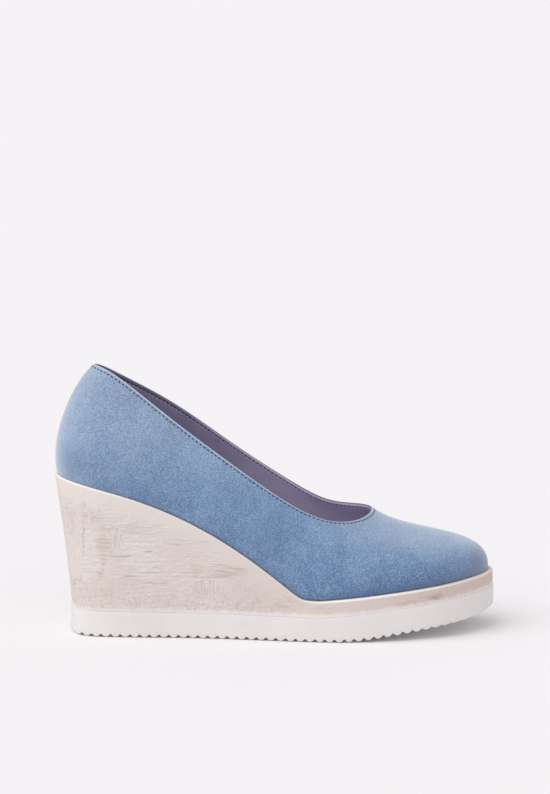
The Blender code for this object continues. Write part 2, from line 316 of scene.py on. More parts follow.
# Grains of noise: how many in a metre, or in a metre along each axis with a turn in degrees
Grain = namedtuple("Grain", "scale detail roughness turn", defaults=(3, 0.55, (0, 0, 0)))
SUEDE_CLOUDS = Grain(40)
SUEDE_BRUSHED = Grain(190, 3, 0.5)
SUEDE_NAP = Grain(3000, 1, 0.5)
SUEDE_FIBRES = Grain((1400, 1400, 3200), 1, 0.5, (0, 40, 12))
LINING_CLOUDS = Grain(60)
LINING_GRAIN = Grain(1700, 3, 0.6)
LINING_STREAKS = Grain((30, 30, 160), 3, 0.6)
THREAD_TWIST = Grain(3500, 2)
WOOD_CLOUDS = Grain(24, 4, 0.6)
WOOD_PATCHES = Grain(85, 4, 0.6)
WOOD_SPECKS = Grain(1000, 2, 0.6)
WOOD_SPECKLE = Grain(850, 2, 0.6)
WOOD_FRAYING = Grain(300, 2, 0.6)
WOOD_LYING = Grain((170, 170, 640), 3, 0.6)
WOOD_STANDING = Grain((560, 560, 170), 3, 0.6)
STROKES = {
    "along": Grain((18, 18, 600), 2, 0.5),
    "across": Grain((420, 420, 30), 2, 0.5),
    "slant": Grain((90, 90, 520), 2, 0.5, (0, -42, 0)),
    "curl": Grain(300, 2, 0.5),
}
SOLE_CLOUDS = Grain(40)
SOLE_GRAIN = Grain(1400, 2)

# Wavering of lines: its grains in a metre, and how far it moves them
Waver = namedtuple("Waver", "scale reach")
STROKE_WAVER = Waver(160, 3 * MM)
GRAIN_WAVER = Waver(160, 1.2 * MM)
CRINKLE_WAVER = Waver(400, 1.5 * MM)
WEAR_FRAY = Waver(320, 2.4 * MM)
TINT_FRAY = Waver(240, 4 * MM)

# Shares of a mark's oval that it fills before it fades
PATCH_CORE = 0.6
CRACK_CORE = 0.3
FIELD_CORE = 0.8
TINT_CORE = 0.2

# Other numbers of the looks
WOOD_CELLS = 42  # square cells in a metre, each with its own tone
STROKE_WIDTH = 0.05  # of the print's strokes, against their noise
WEAR_STRENGTH = 0.6
WOOD_FRAYING_HEIGHT = 3.0  # of the white along the print's foot, in millimetres
THREAD_SHADE = 0.7  # of a thread's colour, between its strands

# Ranges: a number from low to high gives start to end. Places along the shoe and heights are in metres,
# distances to a piece's edges in millimetres
Range = namedtuple("Range", "low high start end", defaults=(0, 1))
# painted shade, darker towards the suede's foot
SUEDE_FOOT = Range(0, 22, 1, 0)
SUEDE_FOOT_ALONG = Range(-0.05, 0.08, 0.5, 1)
# painted sheen, paler towards the heel's top
SUEDE_SHEEN_RISE = Range(0.055, 0.15, 0, 0.28)
SUEDE_DARKER = Range(0.5, 0, 0, 0.7)
SUEDE_PALER = Range(0.5, 1, 0, 0.6)
# painted shade along the vamp's foot
SUEDE_LOW = Range(0.5, 7, 0.55, 0)
SUEDE_LOW_ALONG = Range(-0.01, 0.06)
# painted shade in the crease over the wedge, less round the heel
SUEDE_CREASE = Range(0.4, 1.2, 1, 0)
SUEDE_CREASE_ALONG = Range(-0.1, -0.05, 0.1, 1)
# painted highlight along the collar's rolled edge, weaker towards the front
SUEDE_RIM = Range(0.4, 1.0, 1, 0)
SUEDE_RIM_ALONG = Range(-0.01, 0.04, 0.65, 0.3)
# painted light, paler towards the front
LINING_FRONT_LIGHT = Range(-0.04, 0.045, 0, 0.8)
# the band above the lining's seam: painted light towards the front, painted shade towards the heel
LINING_SEAM = Range(1.4, 2.4, 1, 0)
LINING_SEAM_ALONG = Range(-0.07, -0.02)
LINING_SEAM_FRONT = Range(0, 1, 0, 0.2)
LINING_SEAM_BACK = Range(0, 1, 0.6, 0)
LINING_RIM = Range(0.3, 0.6, 0.85, 0)
LINING_GLOSS = Range(0.3, 0.7, 0.42, 0.58)
WOOD_ROUGH = Range(2, 10)
WOOD_ROUGH_ALONG = Range(-0.108, -0.085, 0.45, 1)
WOOD_ROUGH_CELLS = Range(0, 1, 0.6, 1)
WOOD_TOP_BAND = Range(2, 17, 0.5, 0)
WOOD_SPECKLED = Range(0.5, 0.68, 0.1, 1)
WOOD_LOW = Range(4, 22, 0.9, 0)
WOOD_LOW_ALONG = Range(-0.02, 0.03, 1, 0.3)
WOOD_PINK_ALONG = Range(-0.075, 0.03, 0, 0.5)
WOOD_TAN_ALONG = Range(0.05, 0.1, 0, 0.6)
WOOD_FOOT = Range(-1.5, 1.7, 0.9, 0)
# painted highlight along the wedge's top edge, strongest round the heel and along the platform
WOOD_RIM_LINE = Range(0.4, 1.2, 1, 0)
WOOD_RIM_HEEL = Range(-0.1, -0.06, 0.8, 0.3)
WOOD_RIM_FRONT = Range(0, 0.04, 0.3, 0.9)
WOOD_RIM_TIP = Range(0.06, 0.1, 1, 0.55)
# painted shade in the outsole's grooves and along its lower edge, less at the toe and the heel's back
SOLE_GROOVE_SHADE_TOE = Range(0.04, 0.09, 1, 0.1)
SOLE_GROOVE_SHADE_HEEL = Range(-0.112, -0.1, 0.15, 1)
SOLE_GLOSS = Range(0.3, 0.7, 0.38, 0.52)


def shoe_x(from_back):
    """Shoe X of a place measured from the heel's back."""
    return from_back - LENGTH / 2


def around(table, lateral_columns, medial_columns):
    """Closed curve round the shoe through a table's rows, lateral side first, in metres."""
    rows = list(table.values())
    knots = [[getattr(row, column) for column in lateral_columns] for row in rows]
    knots += [[getattr(row, column) for column in medial_columns] for row in rows[-2:0:-1]]
    return closed_spline(np.array(knots) * MM)


def closed_spline(knots):
    """Smooth closed curve through the knots, with PER_SPAN points on each span."""
    count = len(knots)
    turn = np.roll(np.eye(count), 1, axis=1)
    slopes = np.linalg.solve(4 * np.eye(count) + turn + turn.T, 3 * (turn - turn.T) @ knots)
    t = np.arange(PER_SPAN)[:, None] / PER_SPAN
    start, end = (1 + 2 * t) * (1 - t) ** 2, t * t * (3 - 2 * t)
    leave, arrive = t * (1 - t) ** 2, t * t * (t - 1)
    spans = []
    for i in range(count):
        j = (i + 1) % count
        spans.append(start * knots[i] + end * knots[j] + leave * slopes[i] + arrive * slopes[j])
    return np.concatenate(spans)


def sole_plan():
    """Plan of the outsole."""
    loop = around(SOLE_OUTLINE, ("x", "lateral"), ("x", "medial"))
    loop[:, 0] = shoe_x(loop[:, 0])
    return loop


def feather_plan():
    """Plan of the upper's lower edge, and the wedge's ledge outside each of its points."""
    loop = around(FEATHER_LINE, ("x", "lateral", "ledge"), ("x", "medial", "ledge"))
    loop[:, 0] = shoe_x(loop[:, 0])
    return loop[:, :2], loop[:, 2]


def topline():
    """The collar's edge in space."""
    loop = around(TOPLINE, ("x", "lateral", "lateral_height"), ("x", "medial", "medial_height"))
    loop[:, 0] = shoe_x(loop[:, 0])
    return loop


def offset(plan, distance):
    """A closed plan curve moved out by a distance, one value or one for each point."""
    along = np.roll(plan, -1, axis=0) - np.roll(plan, 1, axis=0)
    along /= np.linalg.norm(along, axis=1)[:, None]
    outward = np.column_stack([along[:, 1], -along[:, 0]])
    return plan + outward * np.broadcast_to(distance, len(plan))[:, None]


def wedge_top(x):
    """Height of the wedge's top: heel seat and shank, and platform, with a rounded bend between them."""
    run = x - shoe_x(0)
    bend = (SHANK_SLOPE - SEAT_SLOPE) / (2 * SHANK_END)
    lip = SEAT_LIP * np.clip(1 - run / SEAT_LIP_LENGTH, 0, 1) ** 2
    shank = SEAT_HEIGHT - SEAT_SLOPE * run - bend * run**2 + lip
    platform = OUTSOLE_BALL + PLATFORM + TOE_RISE * np.maximum(0, x - shoe_x(TOP_RISE_START))
    return (shank + platform + np.sqrt((shank - platform) ** 2 + BEND_ROUND**2)) / 2


def wedge_bottom(x):
    """Height of the joint between wedge and outsole."""
    share = np.clip((x - shoe_x(0)) / JOINT_RISE_START, 0, 1)
    rise = TOE_RISE * np.maximum(0, x - shoe_x(JOINT_RISE_START))
    return OUTSOLE_HEEL + (OUTSOLE_BALL - OUTSOLE_HEEL) * share + rise


def groove_depth(x, toe):
    """Depth of the rounded grooves under the outsole."""
    wave = 0.5 + 0.5 * np.cos(2 * math.pi * (x - shoe_x(FIRST_GROOVE)) / RIPPLE_PITCH)
    started = x > shoe_x(FIRST_GROOVE) - RIPPLE_PITCH / 2
    fade = np.clip((toe - x - RIPPLE_END) / RIPPLE_FADE, 0, 1) * started
    return RIPPLE_DEPTH * fade * wave**RIPPLE_SHARPNESS


def underside(x, back, toe):
    """Height of the outsole's underside: heel bevel, flat, rocker and toe bevel, with its grooves."""
    heel_share = np.clip(1 - (x - back) / HEEL_BEVEL, 0, 1)
    toe_share = np.clip(1 - (toe - x) / TOE_BEVEL, 0, 1)
    into = np.maximum(0, x - shoe_x(ROCKER_START))
    eased = np.minimum(into, ROCKER_ROUND)
    rocker = ROCKER_SLOPE * (eased**2 / (2 * ROCKER_ROUND) + into - eased)
    bevels = HEEL_BEVEL_RISE * heel_share**2 + TOE_BEVEL_RISE * toe_share**2
    return bevels + rocker + groove_depth(x, toe)


def rib_points():
    """Points of every rib of the upper's outer face, feather line first: samples, ribs, coordinates."""
    plan, _ = feather_plan()
    foot = np.column_stack([plan, wedge_top(plan[:, 0]) + FOOT_GAP])
    collar = topline()
    bulge, rise, shoulder, drop = around(RIBS, Rib._fields, Rib._fields).T[:, :, None]
    outward = (foot - collar) * (1, 1, 0)
    outward /= np.linalg.norm(outward, axis=1)[:, None]
    up = np.array((0.0, 0.0, 1.0))
    low, high = foot + outward * bulge + up * rise, collar + outward * shoulder - up * drop
    t = np.linspace(0, 1, RIB_SAMPLES)[:, None, None]
    return foot * (1 - t) ** 3 + 3 * low * t * (1 - t) ** 2 + 3 * high * t**2 * (1 - t) + collar * t**3


def nearest_row(distances, wanted):
    """Number of the row whose distance is nearest to the wanted one, at the heel's back."""
    return int(np.argmin(np.abs(distances[:, 0] - wanted)))


class Wall:
    """The upper's wall: rows of points on its outer face, their normals and their distance to both edges."""

    def __init__(self):
        ribs = rib_points()
        steps = np.linalg.norm(np.diff(ribs, axis=0), axis=2)
        reach = np.concatenate([np.zeros((1, ribs.shape[1])), np.cumsum(steps, axis=0)])
        length = reach[-1]
        shares = (np.arange(FOOT_ROWS) / FOOT_ROWS) ** ROW_CROWDING
        low = np.outer(FOOT_BAND * shares, np.ones(len(length)))
        high = length - np.linspace(COLLAR_BAND, RIM, COLLAR_ROWS)[:, None]
        share = np.linspace(0, 1, MIDDLE_ROWS, endpoint=False)[:, None]
        middle = FOOT_BAND + (length - COLLAR_BAND - FOOT_BAND) * share
        self.above_foot = np.concatenate([low, middle, high])
        self.below_edge = length - self.above_foot
        rows = np.empty((*self.above_foot.shape, 3))
        for rib in range(ribs.shape[1]):
            for axis in range(3):
                rows[:, rib, axis] = np.interp(self.above_foot[:, rib], reach[:, rib], ribs[:, rib, axis])
        self.points = rows
        along = np.roll(rows, -1, axis=1) - np.roll(rows, 1, axis=1)
        up = np.gradient(rows, axis=0)
        self.up = up / np.linalg.norm(up, axis=2)[:, :, None]
        normals = np.cross(along, up)
        self.normals = normals / np.linalg.norm(normals, axis=2)[:, :, None]

    def groove(self):
        """How far the seam pulls the wall in at each point."""
        return GROOVE_DEPTH * np.exp(-(((self.below_edge - STITCH_ROW) / GROOVE_WIDTH) ** 2))

    def at_depth(self, depth):
        """The rows moved in by a depth, one value or one for each point."""
        return self.points - self.normals * np.broadcast_to(depth, self.above_foot.shape)[:, :, None]

    def outer_face(self):
        """The suede's face, tucked in at the feather line and pulled in along the seam."""
        reach = shoe_x(TUCK_START), shoe_x(TUCK_FULL)
        radius = TUCK * np.interp(self.points[0, :, 0], reach, (TUCK_HEEL_SHARE, 1))
        short = np.clip(radius - self.above_foot, 0, radius)
        tuck = radius - np.sqrt(radius**2 - short**2)
        return self.at_depth(tuck + self.groove())

    def inner_face(self):
        """The lining's face."""
        return self.at_depth(WALL - self.groove())

    def rim(self, angles):
        """Rows round the collar's edge, at angles from the outer face over to the inner one."""
        base, out, up = self.points[-1], self.normals[-1], self.up[-1]
        return [base - out * RIM * (1 - math.cos(a)) + up * RIM * math.sin(a) for a in angles]


def skin_faces(rows, count, closed=False):
    """Quads between successive loops of count points, and from the last loop to the first if closed."""
    faces = []
    for row in range(rows if closed else rows - 1):
        low, high = row * count, (row + 1) % rows * count
        for i in range(count):
            j = (i + 1) % count
            faces.append((low + i, low + j, high + j, high + i))
    return faces


def cap_faces(start, count):
    """Faces that fill a closed loop, each running from its lateral side to its medial side."""
    faces = [(start, start + 1, start + count - 1)]
    for i in range(1, count // 2 - 1):
        faces.append((start + i, start + i + 1, start + count - i - 1, start + count - i))
    toe = start + count // 2
    return faces + [(toe - 1, toe, toe + 1)]


def add_piece(name, vertices, faces, material, replaced=None, values=None):
    """A smooth piece on the shoe, with values for its points that its material reads."""
    mesh = bpy.data.meshes.new(name)
    mesh.from_pydata([tuple(v) for v in vertices], [], faces)
    shell = bmesh.new()
    shell.from_mesh(mesh)
    bmesh.ops.recalc_face_normals(shell, faces=shell.faces)
    shell.to_mesh(mesh)
    shell.free()
    mesh.shade_smooth()
    mesh.set_sharp_from_angle(angle=SHARP_EDGE)
    for label, numbers in (values or {}).items():
        mesh.attributes.new(label, "FLOAT", "POINT").data.foreach_set("value", numbers)
    mesh.materials.append(material)
    piece = bpy.data.objects.new(name, mesh)
    bpy.context.scene.collection.objects.link(piece)
    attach(piece, "root")
    if replaced:
        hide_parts(replaced)


def add_capped(name, rows, material, replaced, values=None):
    """A closed piece from loops, with its lowest and highest loops filled."""
    count = len(rows[0])
    faces = skin_faces(len(rows), count)
    faces += cap_faces(0, count) + cap_faces((len(rows) - 1) * count, count)
    add_piece(name, np.concatenate(rows), faces, material, replaced, values)


def add_suede(wall, material):
    """The suede: outer face, its part of the rounded edge, and its hidden back."""
    outer = wall.outer_face()
    turns = np.linspace(0, EDGE_TURN, RIM_ROWS)[1:]
    rim = wall.rim(turns)
    back = wall.at_depth(SUEDE_THICKNESS)[-BACK_START : FOOT_ROWS // 2 : -BACK_STEP]
    rows = [*outer, *rim, *back]
    count = outer.shape[1]
    round_edge = np.repeat(RIM * (1 - turns), count)
    hidden = np.full(count * len(back), HIDDEN)
    to_edge = np.concatenate([wall.below_edge.ravel(), round_edge, hidden])
    to_foot = np.concatenate([wall.above_foot.ravel(), np.full(len(round_edge), HIDDEN), hidden])
    values = {"to_edge": to_edge / MM, "to_foot": to_foot / MM}
    faces = skin_faces(len(rows), count, closed=True)
    add_piece("upper_suede", np.concatenate(rows), faces, material, "upper", values)


def add_lining(wall, material):
    """The lining: the rest of the edge, the inner face, and its hidden back."""
    turns = np.linspace(EDGE_TURN, math.pi, RIM_ROWS)[:-1]
    rim = wall.rim(turns)
    inner = wall.inner_face()[LINING_FOOT:][::-1]
    back = wall.at_depth(LINING_START)[BACK_START : 1 - BACK_START : BACK_STEP]
    rows = [*rim, *inner, *back]
    count = inner.shape[1]
    hidden = np.full(count * len(back), HIDDEN)
    round_edge = np.repeat(RIM * (turns - EDGE_TURN) / (math.pi - EDGE_TURN), count)
    below_edge = wall.below_edge[LINING_FOOT:][::-1]
    to_edge = np.concatenate([round_edge, below_edge.ravel(), hidden])
    faces = skin_faces(len(rows), count, closed=True)
    values = {"to_edge": to_edge / MM}
    add_piece("upper_lining", np.concatenate(rows), faces, material, None, values)


def unit_stitch():
    """Points of one stitch, long in its first direction and flattened towards its ends, and its faces."""
    rings = []
    for ring in range(STITCH_RINGS):
        along = math.sin(math.pi * (ring / (STITCH_RINGS - 1) - 0.5))
        thick = (1 - abs(along) ** STITCH_BLUNTNESS) ** 0.5 + STITCH_END
        for side in range(STITCH_SIDES):
            turn = 2 * math.pi * side / STITCH_SIDES
            rings.append((along, thick * math.cos(turn), thick * math.sin(turn)))
    faces = skin_faces(STITCH_RINGS, STITCH_SIDES)
    last = (STITCH_RINGS - 1) * STITCH_SIDES
    faces += [tuple(range(STITCH_SIDES)), tuple(range(last, last + STITCH_SIDES))]
    return np.array(rings), faces


def on_path(reach, values, place):
    """Values given along a path, at a distance along it."""
    return np.array([np.interp(place, reach, values[:, axis]) for axis in range(3)])


def add_stitches(name, path, normals, material):
    """A row of stitches along a closed path, spaced by its length."""
    closed = np.concatenate([path, path[:1]])
    closed_normals = np.concatenate([normals, normals[:1]])
    reach = np.concatenate([[0], np.cumsum(np.linalg.norm(np.diff(closed, axis=0), axis=1))])
    count = round(reach[-1] / STITCH_PITCH)
    places = (np.arange(count) + 0.5) * reach[-1] / count
    form, form_faces = unit_stitch()
    half = np.array((STITCH_LENGTH, STITCH_WIDTH, STITCH_HEIGHT)) / 2
    vertices, faces = [], []
    for place in places:
        entry, leave = on_path(reach, closed, place - half[0]), on_path(reach, closed, place + half[0])
        along = (leave - entry) / np.linalg.norm(leave - entry)
        out = on_path(reach, closed_normals, place)
        across = np.cross(out, along)
        across /= np.linalg.norm(across)
        middle = (entry + leave) / 2 + out * half[2] * STITCH_PROUD
        start = len(vertices)
        vertices.extend(middle + (form * half) @ np.array((along, across, np.cross(along, across))))
        faces.extend(tuple(start + i for i in face) for face in form_faces)
    add_piece(name, vertices, faces, material)


def quarter(radius):
    """Inset and height of each step round a quarter circle, from a vertical side to a flat top."""
    turns = np.linspace(0, math.pi / 2, ROUND_ROWS)
    return [(radius * (1 - math.cos(turn)), radius * math.sin(turn)) for turn in turns]


def quarter_under(radius):
    """Inset and height of each step round a quarter circle, from a flat underside to a vertical side."""
    return [(radius - rise, inset) for inset, rise in quarter(radius)]


def add_wedge(material):
    """The wedge and platform, with rounded edges."""
    plan, ledge = feather_plan()
    bottom, top = offset(sole_plan(), -SOLE_STEP), offset(plan, ledge)
    low = wedge_bottom(bottom[:, 0]) + JOINT_GAP / 2 + WEDGE_FOOT_ROUND
    high = wedge_top(top[:, 0]) - WEDGE_TOP_ROUND
    rows, above = [], []
    for inset, rise in [(CAP_INSET, 0), *quarter_under(WEDGE_FOOT_ROUND)]:
        edge = offset(bottom, -inset)
        rows.append(np.column_stack([edge, wedge_bottom(edge[:, 0]) + JOINT_GAP / 2 + rise]))
        above.append(np.zeros_like(low))
    for row in range(1, WEDGE_ROWS):
        share = row / WEDGE_ROWS
        side = bottom + (top - bottom) * share * (1 - FLARE + FLARE * share)
        rows.append(np.column_stack([side, low + (high - low) * share]))
        above.append((high - low) * share)
    for inset, rise in [*quarter(WEDGE_TOP_ROUND), (CAP_INSET, WEDGE_TOP_ROUND)]:
        edge = offset(top, -inset)
        rows.append(np.column_stack([edge, wedge_top(edge[:, 0]) - WEDGE_TOP_ROUND + rise]))
        above.append(high - low + rise)
    above = np.array(above)
    values = {"above_joint": above.ravel() / MM, "below_top": (above[-1] - above).ravel() / MM}
    add_capped("wedge_unit", rows, material, "wedge", values)


def add_insole(wall, material):
    """The insole's sock, reaching to the lining all round."""
    row = nearest_row(wall.above_foot, INSOLE_THICKNESS)
    edge = offset(wall.inner_face()[row][:, :2], -INSOLE_CLEAR)
    rows = [np.column_stack([edge, wedge_top(edge[:, 0]) + FOOT_GAP])]
    for inset, rise in [*quarter(INSOLE_ROUND), (CAP_INSET, INSOLE_ROUND)]:
        ring = offset(edge, -inset)
        height = wedge_top(ring[:, 0]) + FOOT_GAP + INSOLE_THICKNESS - INSOLE_ROUND + rise
        rows.append(np.column_stack([ring, height]))
    values = {"to_edge": np.full(len(rows) * len(edge), HIDDEN / MM)}
    add_capped("insole_sock", rows, material, "insole", values)


def sole_stations(back, toe):
    """X of the outsole's sections: close together round the ends and over every groove."""
    shares = (np.arange(END_STEPS) / END_STEPS) ** 2
    ripples = np.arange(back + END_ROUND, toe - END_ROUND, RIPPLE_PITCH / RIPPLE_STEPS)
    stations = np.sort(np.concatenate([back + END_ROUND * shares, toe - END_ROUND * shares, ripples]))
    spread = np.concatenate([[True], np.diff(stations) > STATION_SPREAD])
    return stations[spread]


def add_outsole(material):
    """The outsole, with rounded edges over a rippled underside."""
    plan = sole_plan()
    half = len(plan) // 2
    back, toe = plan[0, 0], plan[half, 0]
    stations = sole_stations(back, toe)
    lateral = np.interp(stations, plan[: half + 1, 0], plan[: half + 1, 1])
    medial_half = np.concatenate([plan[:1], plan[: half - 1 : -1]])
    medial = np.interp(stations, medial_half[:, 0], medial_half[:, 1])
    to_toe, to_heel = np.column_stack([stations, lateral]), np.column_stack([stations, medial])[-2:0:-1]
    loop = np.concatenate([to_toe, to_heel])
    low = underside(loop[:, 0], back, toe)
    high = wedge_bottom(loop[:, 0]) - JOINT_GAP / 2
    groove = groove_depth(loop[:, 0], toe) / RIPPLE_DEPTH
    # painted shade: full in the grooves, less along the lands' lower edge, none higher up
    rows, groove_shade = [np.column_stack([offset(loop, -CAP_INSET), low])], [groove]
    for inset, rise in quarter_under(SOLE_FOOT_ROUND):
        rows.append(np.column_stack([offset(loop, -inset), low + rise]))
        groove_shade.append((1 - rise / SOLE_FOOT_ROUND) * (CONTACT_SHADE + (1 - CONTACT_SHADE) * groove))
    for row in range(1, SOLE_ROWS):
        share = row / SOLE_ROWS
        rise = SOLE_FOOT_ROUND + (high - low - SOLE_FOOT_ROUND) * share
        rows.append(np.column_stack([loop, low + rise]))
        groove_shade.append(np.zeros_like(low))
    for inset, rise in [*quarter(SOLE_TOP_ROUND), (CAP_INSET, SOLE_TOP_ROUND)]:
        edge = offset(loop, -inset)
        rows.append(np.column_stack([edge, high - SOLE_TOP_ROUND + rise]))
        groove_shade.append(np.zeros_like(low))
    values = {"groove_shade": np.concatenate(groove_shade)}
    add_capped("outsole_unit", rows, material, "outsole", values)


class Shader:
    """A material's node tree, with a call for each kind of node it uses."""

    def __init__(self, name, roughness):
        self.material = bpy.data.materials.new(name)
        self.material.use_nodes = True
        self.tree = self.material.node_tree
        self.surface = self.tree.nodes["Principled BSDF"]
        self.surface.inputs["Roughness"].default_value = roughness
        self.place = self.node("ShaderNodeTexCoord").outputs["Object"]
        self.along, _, self.height = self.node("ShaderNodeSeparateXYZ", Vector=self.place).outputs

    def put(self, socket, value):
        """Links a socket, or sets its value."""
        if isinstance(value, bpy.types.NodeSocket):
            self.tree.links.new(value, socket)
        else:
            socket.default_value = value

    def fill(self, node, sockets):
        """Links or sets a node's inputs by their names."""
        for label, value in sockets.items():
            self.put(node.inputs[label.replace("_", " ")], value)

    def node(self, kind, settings=None, **sockets):
        """A node with its settings and its inputs."""
        made = self.tree.nodes.new(kind)
        for label, value in (settings or {}).items():
            setattr(made, label, value)
        self.fill(made, sockets)
        return made

    def dress(self, **sockets):
        """The material, with inputs of its surface linked or set."""
        self.fill(self.surface, sockets)
        return self.material

    def operate(self, kind, operation, values):
        """Outputs of a node that combines values."""
        made = self.node(kind, {"operation": operation})
        for socket, value in zip(made.inputs, values):
            self.put(socket, value)
        return made.outputs

    def math(self, operation, *values):
        """Numbers combined."""
        return self.operate("ShaderNodeMath", operation, values)[0]

    def vector_math(self, operation, *values):
        """Vectors combined."""
        result = "Value" if operation == "LENGTH" else "Vector"
        return self.operate("ShaderNodeVectorMath", operation, values)[result]

    def product(self, first, *others):
        """Numbers multiplied."""
        for value in others:
            first = self.math("MULTIPLY", first, value)
        return first

    def largest(self, values):
        """The largest of several numbers."""
        result, *others = values
        for value in others:
            result = self.math("MAXIMUM", result, value)
        return result

    def weighted(self, *parts):
        """Sum of numbers about their middle, each times its weight, about one half."""
        total = 0.5 - sum(weight for _, weight in parts) / 2
        for value, weight in parts:
            total = self.math("ADD", self.product(value, weight), total)
        return total

    def attribute(self, name):
        """A number stored with the mesh's points."""
        return self.node("ShaderNodeAttribute", {"attribute_name": name}).outputs["Fac"]

    def shaken(self, waver, place=None):
        """A place on the shoe moved about, for lines that waver."""
        place = place or self.place
        made = self.node("ShaderNodeTexNoise", Vector=place, Scale=waver.scale, Detail=2.0)
        return self.vector_math("MULTIPLY_ADD", made.outputs["Color"], (waver.reach,) * 3, place)

    def noise(self, grain, place=None):
        """Noise of a grain at a place on the shoe."""
        place, scale = place or self.place, grain.scale
        if isinstance(scale, tuple):
            turn = tuple(math.radians(angle) for angle in grain.turn)
            place = self.node("ShaderNodeMapping", Vector=place, Rotation=turn, Scale=scale).outputs[0]
            scale = 1
        made = self.node(
            "ShaderNodeTexNoise", Vector=place, Scale=scale, Detail=grain.detail, Roughness=grain.roughness
        )
        return made.outputs[0]

    def cells(self, scale):
        """Three numbers that stay the same within each of the shoe's square cells, so many in a metre."""
        made = self.node("ShaderNodeTexVoronoi", {"distance": "CHEBYCHEV"}, Vector=self.place, Scale=scale)
        return self.node("ShaderNodeSeparateColor", Color=made.outputs["Color"]).outputs

    def slope(self, value, span, kind="LINEAR"):
        """A number mapped evenly over a range."""
        made = self.node(
            "ShaderNodeMapRange",
            {"interpolation_type": kind},
            Value=value,
            From_Min=span.low,
            From_Max=span.high,
            To_Min=span.start,
            To_Max=span.end,
        )
        return made.outputs[0]

    def ramp(self, value, span):
        """A number mapped smoothly over a range."""
        return self.slope(value, span, "SMOOTHSTEP")

    def band(self, value, span, along):
        """A number's ramp that also changes along the shoe."""
        return self.product(self.ramp(value, span), self.ramp(self.along, along))

    def contour(self, value, width):
        """Lines where a number passes one half."""
        away = self.math("ABSOLUTE", self.math("SUBTRACT", value, 0.5))
        return self.ramp(away, Range(0, width, 1, 0))

    def embossed(self, pattern):
        """A pattern of places shown as painted relief: painted highlight on its flanks towards the light,
        painted shade on the others.
        """
        lit = self.vector_math("ADD", self.place, EMBOSS)
        flank = self.math("SUBTRACT", pattern(self.place), pattern(lit))
        return self.math("ADD", flank, 0.5)

    def spot(self, place, mark, core):
        """Mask of a mark's oval in side view: one in its core, a share of it, and nought at its edge."""
        made = self.node(
            "ShaderNodeMapping",
            {"vector_type": "TEXTURE"},
            Vector=self.vector_math("MULTIPLY", place, (1, 0, 1)),
            Location=(shoe_x(mark.x * MM), 0, mark.z * MM),
            Rotation=(0, -math.radians(mark.tilt), 0),
            Scale=(mark.length * MM, 1, mark.height * MM),
        )
        return self.ramp(self.vector_math("LENGTH", made.outputs[0]), Range(core, 1, 1, 0))

    def marks(self, place, kind, core):
        """Mask of all marks of a kind."""
        found = [mark for mark in MARKS if mark.kind == kind]
        return self.largest(self.product(self.spot(place, mark, core), mark.strength) for mark in found)

    def blend(self, kind, numbered):
        """A node that mixes two values of a kind, with its inputs by number."""
        made = self.node("ShaderNodeMix", {"data_type": kind})
        for number, value in numbered.items():
            self.put(made.inputs[number], value)
        return made.outputs

    def mix_value(self, factor, first, second):
        """Two numbers mixed."""
        return self.blend("FLOAT", {0: factor, 2: first, 3: second})[0]

    def mix(self, factor, first, second):
        """Two colours mixed."""
        return self.blend("RGBA", {0: factor, 6: first, 7: second})[2]

    def layered(self, colour, *layers):
        """A colour with others laid over it, each through its mask."""
        for mask, over in layers:
            colour = self.mix(mask, colour, over)
        return colour

    def colours(self, value, *stops):
        """A number turned into colours at its stops."""
        made = self.node("ShaderNodeValToRGB", Fac=value)
        elements = made.color_ramp.elements
        while len(elements) < len(stops):
            elements.new(0.5)
        for element, (position, colour) in zip(elements, stops):
            element.position = position
            element.color = colour
        return made.outputs[0]

    def bump(self, height, strength, depth):
        """Normals of a relief of so many metres."""
        return self.node("ShaderNodeBump", Height=height, Strength=strength, Distance=depth).outputs[0]


def suede_material():
    """Brushed suede: clouds, nap and fibres, with painted shade towards its foot, in its crease over the
    wedge and in places, painted sheen towards the heel's top and a painted highlight along its edge.
    """
    shader = Shader("suede_nap", roughness=0.93)
    clouds, brushed = shader.noise(SUEDE_CLOUDS), shader.noise(SUEDE_BRUSHED)
    nap, fibres = shader.noise(SUEDE_NAP), shader.noise(SUEDE_FIBRES)
    tone = shader.weighted((clouds, 0.65), (brushed, 0.4), (nap, 2.2), (fibres, 2.2))
    to_foot, to_edge = shader.attribute("to_foot"), shader.attribute("to_edge")
    frayed = shader.shaken(TINT_FRAY)
    colour = shader.layered(
        SUEDE_MID,
        # painted shade towards the foot
        (shader.band(to_foot, SUEDE_FOOT, SUEDE_FOOT_ALONG), SUEDE_DEEP),
        # painted sheen towards the heel's top
        (shader.ramp(shader.height, SUEDE_SHEEN_RISE), SUEDE_SHEEN_AND_NAP),
        (shader.slope(tone, SUEDE_DARKER), SUEDE_SHADE),
        (shader.slope(tone, SUEDE_PALER), SUEDE_LIGHT),
        (shader.marks(frayed, "pale", TINT_CORE), SUEDE_SHEEN_AND_NAP),
        # painted shade of the dark marks
        (shader.marks(frayed, "dark", TINT_CORE), SUEDE_SHADE),
        # painted shade along the vamp's foot
        (shader.band(to_foot, SUEDE_LOW, SUEDE_LOW_ALONG), SUEDE_SHADE),
        # painted shade in the crease over the wedge
        (shader.band(to_foot, SUEDE_CREASE, SUEDE_CREASE_ALONG), SUEDE_CREASE_SHADE),
        # painted highlight along the collar's edge
        (shader.band(to_edge, SUEDE_RIM, SUEDE_RIM_ALONG), SUEDE_EDGE),
    )
    return shader.dress(
        Base_Color=colour,
        Normal=shader.bump(shader.weighted((nap, 0.6), (fibres, 0.5)), strength=0.7, depth=0.25 * MM),
        Specular_IOR_Level=0.5,
        Sheen_Weight=1.0,
        Sheen_Roughness=0.6,
        Sheen_Tint=SUEDE_SHEEN,
    )


